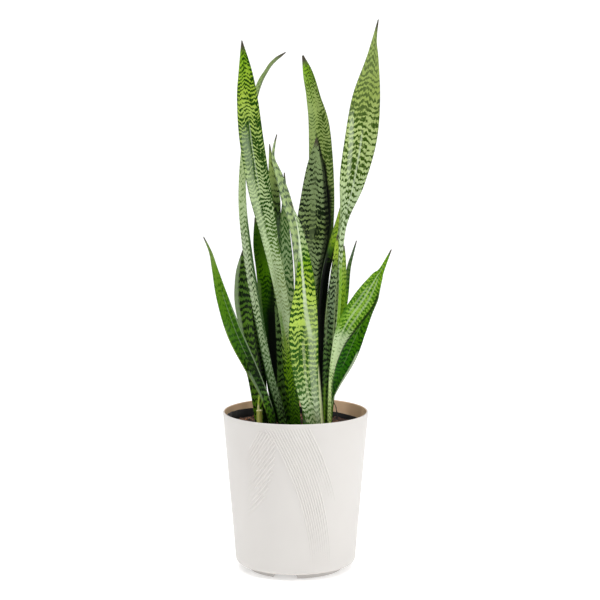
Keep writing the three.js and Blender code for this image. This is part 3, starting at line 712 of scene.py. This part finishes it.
# %% Leaf finish
def leaf_finish(name, leaf, look, seed):
    finish = LeafFinish(f"leaf_{name}_skin", lengths_along(leaf)[-1], seed)
    speckle, side, gap = finish.speckle, finish.side, MM * look["gap"]

    # the shape of one line: a peak at the midrib, a dip halfway out
    peak = finish.math("COSINE", side * (1.55 * math.pi))
    bent = finish.up - peak * (MM * look["rise"])
    bent += speckle(1.3, 30, 1.0, 0) * 0.016
    bent += speckle(7, 45, 3.0, 10) * (1.3 * gap)
    wave = finish.math("SINE", bent * (2 * math.pi / gap))

    # blotches, patches, fine flecks, lengthwise strokes and the share of dark
    blotch = speckle(1.6, 24, 2.0, 20)
    patch = speckle(3, 60, 2.0, 60)
    fleck = speckle(13, 330, 2.0, 30)
    stroke = speckle(16, 70, 2.0, 50)
    level = finish.ramp(finish.place, look["cover"]) * 4 - 2
    level += side * (3 * look["tilt"]) + wave * look["lines"]
    level += blotch * 4 + patch * 3 + fleck * 2.2 + stroke * (1.2 + 2 * look["strokes"])
    dark = finish.step(level, -0.2, 0.35)

    # ground and lines, each faintly mixed with the other, then the front's streaks of painted
    # highlight and painted shade
    shifted = finish.place + blotch * 0.1
    # on the back the ground is at least BACK_GREEN, which drops the painted shade of the feet there
    ground = finish.mix(finish.back, finish.ramp(shifted, look["ground"]), BACK_GREEN, "LIGHTEN")
    line = look["dark"] if isinstance(look["dark"], tuple) else finish.ramp(shifted, look["dark"])
    line = finish.mix(finish.back, line, BACK_LINE, "DARKEN")
    pale = finish.mix(finish.step(fleck, 0, 0.2) * 0.4, ground, line)
    worn = finish.step(speckle(9, 120, 2.0, 80), 0.02, 0.2) * 0.4
    banded = finish.mix(dark, pale, finish.mix(worn, line, ground))
    colour = banded
    for streak in look["streaks"]:
        colour = finish.streak(colour, stroke + fleck, *streak)
    # the back keeps the bands without the painted highlights and painted shade
    colour = finish.mix(finish.back, colour, banded)
    rim = finish.step(finish.math("ABSOLUTE", side), 0.93, 1.0)
    colour = finish.mix(rim * 0.6, colour, line)
    colour = finish.mix(finish.step(finish.place, 0.965, 0.99), colour, TIP_BROWN)
    finish.set(Base_Color=colour, Specular_IOR_Level=0.06, Coat_Weight=0.03, Coat_Roughness=0.18)
    finish.set(Roughness=fleck * 0.3 + 0.45)
    finish.bump(speckle(26, 12, 2.0, 40) + fleck * 0.6, 0.25, 0.0004)
    return finish.material


for seed, (name, leaf) in enumerate(LEAVES.items()):
    skin = leaf_finish(name, leaf, PLAIN_LOOK | LOOKS[name], 7.3 * seed)
    dress(blades[name], skin)
    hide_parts("leaf_" + name)
print("leaf finishes ready")

# %% [markdown]
# ## The planter
#
# The planter is a moulded shell: a tapered wall, a rounded lip, a small fillet at the bottom and a
# low foot ring set in from it, cut by three slanted notches. A shell like that is turned: its
# outline is drawn once and spun about the axis. Liner, soil and cut shoot are turned too, so one
# helper makes them all, and a piece that isn't quite round says how its points move.

# %% Turned shapes
ROUND_STEPS = 240
SAME_PLACE = 1e-6


def arc_points(centre_r, centre_z, radius, start, end, steps):
    angles = [math.radians(start + (end - start) * i / steps) for i in range(steps + 1)]
    return [(centre_r + radius * math.cos(a), centre_z + radius * math.sin(a)) for a in angles]


def spin_outline(bm, outline, steps, angle=2 * math.pi, start=0.0):
    turn = Matrix.Rotation(start, 3, "Z")
    edges = edge_chain(bm, [turn @ Vector((r, 0, z)) for r, z in outline])
    verts = list({v for e in edges for v in e.verts})
    bmesh.ops.spin(
        bm, geom=verts + edges, axis=(0, 0, 1), cent=(0, 0, 0), angle=angle, steps=steps,
        use_merge=angle == 2 * math.pi)
    bmesh.ops.remove_doubles(bm, verts=bm.verts, dist=SAME_PLACE)


def place_on_axis(name, bm, smooth=True):
    bmesh.ops.translate(bm, verts=bm.verts, vec=AXIS)
    return new_object(name, bm, smooth)


def turned(name, outline, steps=ROUND_STEPS, moved=None):
    bm = bmesh.new()
    spin_outline(bm, outline, steps)
    if moved:
        for vert in bm.verts:
            vert.co = moved(*vert.co)
    return place_on_axis(name, bm)


def pot_radius(z):
    return RIM_RADIUS - TAPER * (RIM_Z - z)


def pot_outline():
    lip = WALL / 2
    inner = FILLET - WALL
    low, low_inner = UNDERSIDE_Z + FILLET, FLOOR_Z + inner
    outline = [(0, UNDERSIDE_Z), (0.05, UNDERSIDE_Z)]
    outline += arc_points(pot_radius(low) - FILLET, low, FILLET, -90, 0, 10)
    outline += [(pot_radius(z), z) for z in (0.06, 0.11, 0.16, 0.21, 0.25)]
    outline += arc_points(pot_radius(RIM_Z) - lip, RIM_Z - lip, lip, 0, 180, 10)
    outline += [(pot_radius(z) - WALL, z) for z in (0.25, 0.2, 0.1)]
    outline += arc_points(pot_radius(low_inner) - WALL - inner, low_inner, inner, 0, -90, 6)
    return outline + [(0, FLOOR_Z)]


pot = turned("planter_shell", pot_outline())
print("planter with", len(pot.data.polygons), "faces")

# %% [markdown]
# Each foot is an arc of the ring. Its section is spun through the arc between two notches, its
# open ends are closed, and the ends are slanted by drawing the top corners outwards.

# %% Feet
FOOT_RADIUS = 0.0785
FOOT_WALL = 0.004
FOOT_EDGE = 0.0006
FEET = 3
NOTCH_DEGREES = 30.8
NOTCH_SLANT = 3.7  # degrees by which each end leans over
FIRST_NOTCH = -12.5  # degrees from the front, positive to the right


def feet():
    inner, outer, edge = FOOT_RADIUS - FOOT_WALL, FOOT_RADIUS, FOOT_EDGE
    outline = [
        (inner, UNDERSIDE_Z), (inner, edge), (inner + edge, 0), (outer - edge, 0), (outer, edge),
        (outer, UNDERSIDE_Z), (inner, UNDERSIDE_Z)]
    period = 2 * math.pi / FEET
    span = period - math.radians(NOTCH_DEGREES)
    first = math.radians(-90 + FIRST_NOTCH + NOTCH_DEGREES / 2)
    bm = bmesh.new()
    for index in range(FEET):
        spin_outline(bm, outline, 48, span, first + period * index)
    bmesh.ops.holes_fill(bm, edges=[e for e in bm.edges if e.is_boundary])
    for vert in bm.verts:
        angle = math.atan2(vert.co.y, vert.co.x) - first - span / 2
        off_middle = (angle + period / 2) % period - period / 2
        lean = math.radians(NOTCH_SLANT) * vert.co.z / UNDERSIDE_Z * off_middle / (span / 2)
        vert.co = Matrix.Rotation(lean, 3, "Z") @ vert.co
    return place_on_axis("planter_feet", bm, smooth=False)


pot_feet = feet()
print("feet with", len(pot_feet.data.polygons), "faces")

# %% [markdown]
# ## Swept ribs
#
# Fine raised ribs run down the front in two fans: a broad one that curves down to the right, and
# a short one that leans away to the left. They are too fine to cut into the shell, and paint would
# not catch the light. So each is a thin rod bent along the wall and sunk into it, of which 1 mm
# stands proud as a soft ridge.

# %% Rods
def rods(name, radius, lines, share_left):
    """Round rods bent along lines. share_left says how much of the radius is left at t."""
    data = bpy.data.curves.new(name, "CURVE")
    data.dimensions = "3D"
    data.bevel_depth = radius
    data.bevel_resolution = 2
    data.use_fill_caps = True
    for line in lines:
        spline = data.splines.new("POLY")
        spline.points.add(len(line) - 1)
        for k, point in enumerate(spline.points):
            point.co = (*line[k], 1)
            point.radius = share_left(k / (len(line) - 1))
    curve = bpy.data.objects.new("curve", data)
    link(curve)
    graph = bpy.context.evaluated_depsgraph_get()
    mesh = bpy.data.meshes.new_from_object(curve.evaluated_get(graph))
    bpy.data.objects.remove(curve)
    bm = bmesh.new()
    bm.from_mesh(mesh)
    bpy.data.meshes.remove(mesh)
    return new_object(name, bm)


print("rod helper ready")

# %% Rib paths
RIB_RADIUS = 0.0013
RIB_PROUD = 0.001
RIBS_IN_FAN = 15
FAN_TOP = 0.259
FAN_FOOT = 0.022
SIDE_FAN_LEFT = -0.0792  # where the side fan leaves the front of the pot


def main_fan(share, z):
    """How far to the side the rib with this share of the main fan's width lies at a height."""
    climb = max(z - FAN_FOOT, 0) / (FAN_TOP - FAN_FOOT)
    first = 0.0256 - 0.0721 * climb**1.9
    last = 0.0724 - 0.0522 * climb**2.35
    return first + (last - first) * share


def side_fan(share, x):
    """How high the rib with this share of the side fan's depth lies at a place to the side."""
    run = x - SIDE_FAN_LEFT
    lowest = 0.102 + 1.38 * run - 2.6 * run * run
    highest = 0.207 + 1.98 * run - 1.1 * run * run
    return lowest + (highest - lowest) * share


def side_fan_end(j):
    """Where rib j of the side fan, counted from the lowest, ends at its upper right."""
    if j < 8:
        return -0.0317 - 0.0004 * (6.5 - j) ** 2
    return -0.0325 - 0.0042 * (j - 8)


def main_fan_end(i):
    """How low rib i of the main fan, counted from the left, reaches."""
    if i < 0:
        return 0.224
    return FAN_FOOT if i < 10 else 0.131 + 0.005 * (14 - i)


def on_pot(x, z):
    proud = min(RIB_PROUD, RIM_RADIUS - pot_radius(z) - 0.0001)  # never past the rim
    radius = pot_radius(z) + proud - RIB_RADIUS
    return Vector((x, -math.sqrt(radius * radius - x * x), z)) + AXIS


def rib_lines(rows=40, columns=24):
    """The centre line of every rib on the front, from its upper end."""
    lines = []
    for i in range(-1, RIBS_IN_FAN):
        heights = [FAN_TOP + (main_fan_end(i) - FAN_TOP) * k / rows for k in range(rows + 1)]
        lines.append([on_pot(main_fan(i / (RIBS_IN_FAN - 1), z), z) for z in heights])
    for j in range(RIBS_IN_FAN):
        end = side_fan_end(j)
        sides = [end + (SIDE_FAN_LEFT - end) * k / columns for k in range(columns + 1)]
        line = [(x, side_fan(j / (RIBS_IN_FAN - 1), x)) for x in sides]
        lines.append([on_pot(x, z) for x, z in line if z < FAN_TOP + 0.0005])
    return lines


ribs = rods("planter_ribs", RIB_RADIUS, rib_lines(), lambda t: 1 - 0.6 * smooth_step(t, 0.55, 1))
print("ribs with", len(ribs.data.polygons), "faces")

# %% [markdown]
# ## Planter finish
#
# The outside is a warm white with a dull sheen, the inside wall bare and tan. One graph serves for
# both: it compares a point's distance from the pot's axis with the taper, so the change of colour
# follows the lip exactly. The same measure finds the crests of the ribs, which get a painted
# highlight: a little brighter than the wall, as if they catch the light.

# %% Planter finish
def planter_finish():
    finish = Finish("planter_plastic")
    place = finish.object_place()
    x, y, z = finish.parts(place)
    x -= AXIS_X
    depth = z * TAPER + pot_radius(0) - finish.math("SQRT", x * x + y * y)
    high = finish.step(z, FLOOR_Z - 0.004, FLOOR_Z - 0.001)
    inside = finish.step(depth, 0.0019, 0.0026) * high
    cloud = finish.noise(place, scale=9, detail=3)
    outer = finish.mix(cloud, (210, 207, 203), (203, 199, 195))
    # painted highlight on the ribs' crests
    crest_highlight = finish.step(depth * -1, 0.2 * RIB_PROUD, 0.9 * RIB_PROUD)
    outer = finish.mix(crest_highlight, outer, (219, 215, 211))
    inner = finish.mix(cloud, (252, 216, 178), (246, 204, 164))
    finish.set(Base_Color=finish.mix(inside, outer, inner), Roughness=cloud * 0.12 + 0.42)
    finish.bump(finish.noise(place, scale=900, detail=2), 0.08, 0.0003)
    return finish.material


planter_plastic = planter_finish()
for piece in (pot, pot_feet, ribs):
    dress(piece, planter_plastic)
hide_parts("planter_pot")
print("planter finished")

# %% [markdown]
# ## Nursery liner
#
# The plant still stands in the thin black container it was grown in, whose soft top edge shows a
# little below the planter's lip. It is turned like the planter, and then its upper part waves up
# and down and crumples in and out, less and less towards the bottom.

# %% Liner
LINER_GAP = 0.0004
LINER_WALL = 0.0012
LINER_RIM = 0.246
LINER_LEAN = 0.0065
LINER_WAVE = 0.0008
LINER_FOLD = 0.003
LINER_SOFT = 0.225  # the height above which it waves
HIGH_SIDE = math.radians(160)  # liner and soil rise towards the left


def liner_radius(z):
    return pot_radius(z) - WALL - LINER_GAP


def liner_outline():
    bottom = FLOOR_Z + LINER_GAP
    corner, inside = bottom + FILLET, bottom + LINER_WALL
    heights = [0.08, 0.14, 0.19, 0.22, 0.232, LINER_RIM - 0.0003]
    outline = [(0, bottom), (liner_radius(corner) - FILLET, bottom), (liner_radius(corner), corner)]
    outline += [(liner_radius(z), z) for z in heights]
    outline += [(liner_radius(LINER_RIM) - LINER_WALL / 2, LINER_RIM)]
    outline += [(liner_radius(z) - LINER_WALL, z) for z in heights[::-1] + [corner]]
    return outline + [(liner_radius(corner) - FILLET, inside), (0, inside)]


def liner_point(x, y, z):
    share = smooth_step(z, LINER_SOFT, LINER_RIM)
    angle = math.atan2(y, x)
    lift = LINER_LEAN * math.cos(angle - HIGH_SIDE) + LINER_WAVE * math.sin(5 * angle)
    lift *= share
    fold = LINER_FOLD * abs(noise.noise(Vector((9 * math.cos(angle), 9 * math.sin(angle), z * 30))))
    pull = 1 + (TAPER * lift - fold * share) / max(math.hypot(x, y), 0.01)
    return Vector((x * pull, y * pull, z + lift))


def liner_finish():
    finish = Finish("black_liner")
    crumple = finish.noise(finish.object_place(), scale=60, detail=4, roughness=0.6)
    colour = finish.mix(crumple, (6, 6, 7), (18, 17, 17))
    finish.set(Base_Color=colour, Specular_IOR_Level=0.2, Roughness=crumple * 0.3 + 0.3)
    finish.bump(crumple, 0.5, 0.002)
    return finish.material


film = turned("liner_film", liner_outline(), moved=liner_point)
dress(film, liner_finish())
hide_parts("nursery_liner")
print("liner with", len(film.data.polygons), "faces")

# %% [markdown]
# ## Soil
#
# Potting mix is a rough bed of peat with shreds of bark on it. The bed is a turned disc, crowned
# in the middle and leaning a little to one side, whose top is pitted by noise. The bark is a few
# hundred small bent flakes, each with so few faces that all of them cost little.

# %% Soil bed
SOIL_EDGE_Z = 0.2375
SOIL_CROWN = 0.003
SOIL_LEAN = 0.0025
SOIL_PITS = 0.003
SOIL_RINGS = 64
SOIL_INSET = LINER_WALL + LINER_GAP
SOIL_RADIUS = liner_radius(SOIL_EDGE_Z) - SOIL_INSET


def soil_height(x, y):
    share = min(math.hypot(x, y) / SOIL_RADIUS, 1)
    lean = SOIL_LEAN * share * math.cos(math.atan2(y, x) - HIGH_SIDE)
    return SOIL_EDGE_Z + SOIL_CROWN * (1 - share**3) + lean


def soil_outline():
    bottom = FLOOR_Z + SOIL_INSET + LINER_GAP
    corner, top = bottom + FILLET, SOIL_RADIUS - 0.0004
    outline = [(0, bottom), (liner_radius(corner) - SOIL_INSET - FILLET, bottom)]
    outline += [(liner_radius(z) - SOIL_INSET, z) for z in (corner, 0.225)]
    return outline + [(top * (1 - i / SOIL_RINGS), SOIL_EDGE_Z) for i in range(SOIL_RINGS + 1)]


def soil_point(x, y, z):
    if z > SOIL_EDGE_Z - 0.001:
        pit = noise.fractal(Vector((x, y, z)) * 110, 0.7, 2.1, 4) - 0.7
        z = soil_height(x, y) + min(SOIL_PITS * pit, 0)
    return Vector((x, y, z))


bed = turned("soil_bed", soil_outline(), 280, soil_point)
print("soil bed with", len(bed.data.polygons), "faces")

# %% Bark flakes
FLAKES = 620
FLAKE_LENGTHS = (0.002, 0.0065)  # half of a flake's length
FLAKE_SUNK = 0.0016
FLAKE_MARGIN = 0.006
FLAKE_DENTS = 0.12


def bark_flakes():
    draw = random.Random(11)
    bm = bmesh.new()
    reach = SOIL_RADIUS - FLAKE_MARGIN
    for _ in range(FLAKES):
        angle, distance = draw.uniform(0, 2 * math.pi), reach * math.sqrt(draw.random())
        length = draw.uniform(*FLAKE_LENGTHS)
        size = Vector((length, length * draw.uniform(0.35, 0.8), length * draw.uniform(0.15, 0.35)))
        turn = Euler((draw.uniform(-0.5, 0.5), draw.uniform(-0.5, 0.5), draw.uniform(0, 6.3)))
        x, y = distance * math.cos(angle), distance * math.sin(angle)
        matrix = Matrix.LocRotScale(Vector((x, y, soil_height(x, y) - FLAKE_SUNK)), turn, size)
        flake = bmesh.ops.create_icosphere(bm, subdivisions=1, radius=1, matrix=matrix)
        for vert in flake["verts"]:
            vert.co += length * Vector([draw.uniform(-FLAKE_DENTS, FLAKE_DENTS) for _ in range(3)])
    return place_on_axis("bark_flakes", bm, smooth=False)


def soil_finish(name, light, dark):
    finish = Finish(name)
    place = finish.object_place()
    grain = finish.noise(place, scale=420, detail=5, roughness=0.7)
    patch = finish.noise(place, scale=130, detail=3)
    chip = finish.add("ShaderNodeNewGeometry", {}, "Random Per Island")
    colour = finish.mix(finish.step(patch + chip, 0.6, 1.3), dark, light)
    colour = finish.mix(finish.step(grain, 0.42, 0.62), (18, 13, 11), colour)
    finish.set(Base_Color=colour, Roughness=0.85)
    finish.bump(grain, 0.9, 0.0016)
    return finish.material


flakes = bark_flakes()
dress(bed, soil_finish("peat", (104, 66, 46), (40, 26, 18)))
dress(flakes, soil_finish("bark", (176, 120, 84), (64, 36, 24)))
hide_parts("potting_soil")
print("flakes with", len(flakes.data.polygons), "faces")

# %% [markdown]
# ## Cut-back shoot and dry fibre
#
# One young shoot was cut off: what is left is a pale sheath with a hollowed end and a thin sliver
# of blade. The sheath is turned and squeezed to an oval, and the sliver is a blade like the
# others. A dry fibre stands at the right: a rod bent along a few points.

# %% Cut shoot
SHOOT = dict(x=-0.059, y=-0.036, top=0.271, wide=0.0048, deep=0.004, bottom=0.2035)
SLIVER = dict(face=[0, 0], gutter=[0.2, 0.2], crease=1.6, wave=0, thickness=1.6, knots=[
    (-60.5, -36, 258, 3.6), (-60.5, -36, 275, 3.2), (-60, -36, 287, 2.6), (-59, -37, 296, 1.6)])


def sheath_outline():
    top = SHOOT["top"]
    outer = [(0, SHOOT["bottom"]), (0.8, SHOOT["bottom"]), (0.86, 0.235)]
    rim = [(0.9, 18), (0.92, 4), (0.99, 2), (1, 1.3), (0.97, 0.3), (0.9, 0)]
    hollow = [(0.7, 0.6), (0.55, 2), (0.45, 5), (0, 5)]
    return outer + [(share, top - MM * below) for share, below in rim + hollow]


def sheath_point(x, y, z):
    return Vector((SHOOT["wide"] * x + SHOOT["x"], SHOOT["deep"] * y + SHOOT["y"], z))


def shoot_finish():
    finish = Finish("shoot_skin")
    x, y, z = finish.parts(finish.object_place())
    streaks = finish.noise(finish.vector(x * 1200, y * 1200, z * 60), detail=3)
    body = finish.mix(finish.step(streaks, 0.35, 0.65), (174, 182, 56), (222, 228, 138))
    lip = finish.step(z, SHOOT["top"] - 0.0025, SHOOT["top"] - 0.0005)
    colour = finish.mix(lip, body, (226, 222, 164))
    spent = finish.step(z, SHOOT["top"] + 0.004, SHOOT["top"] + 0.012)
    finish.set(Base_Color=finish.mix(spent, colour, (176, 200, 60)), Roughness=0.5)
    finish.bump(streaks, 0.3, 0.0004)
    return finish.material


sheath = turned("cut_sheath", sheath_outline(), 48, sheath_point)
sliver = blade("cut_sliver", SLIVER, slices_across=6)
shoot_skin = shoot_finish()
for piece in (sheath, sliver):
    dress(piece, shoot_skin)
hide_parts("cut_shoot")
print("cut shoot ready")

# %% Dry fibre
FIBRE_RADIUS = 0.0011
FIBRE_STEPS = 40
FIBRE_PATH = [(70, 60, 226), (70, 60, 240), (69, 64, 251), (67, 68, 259), (61, 70, 268)]


def fibre_share(t):
    return 1 - 0.4 * t + 0.12 * math.sin(31 * t)


fibre_line = [on_line(FIBRE_PATH, k / FIBRE_STEPS) for k in range(FIBRE_STEPS + 1)]
strand = rods("fibre_strand", FIBRE_RADIUS, [fibre_line], fibre_share)
dress(strand, soil_finish("dry_strand", (58, 50, 44), (24, 20, 18)))
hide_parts("dry_fibre")
print("fibre ready")
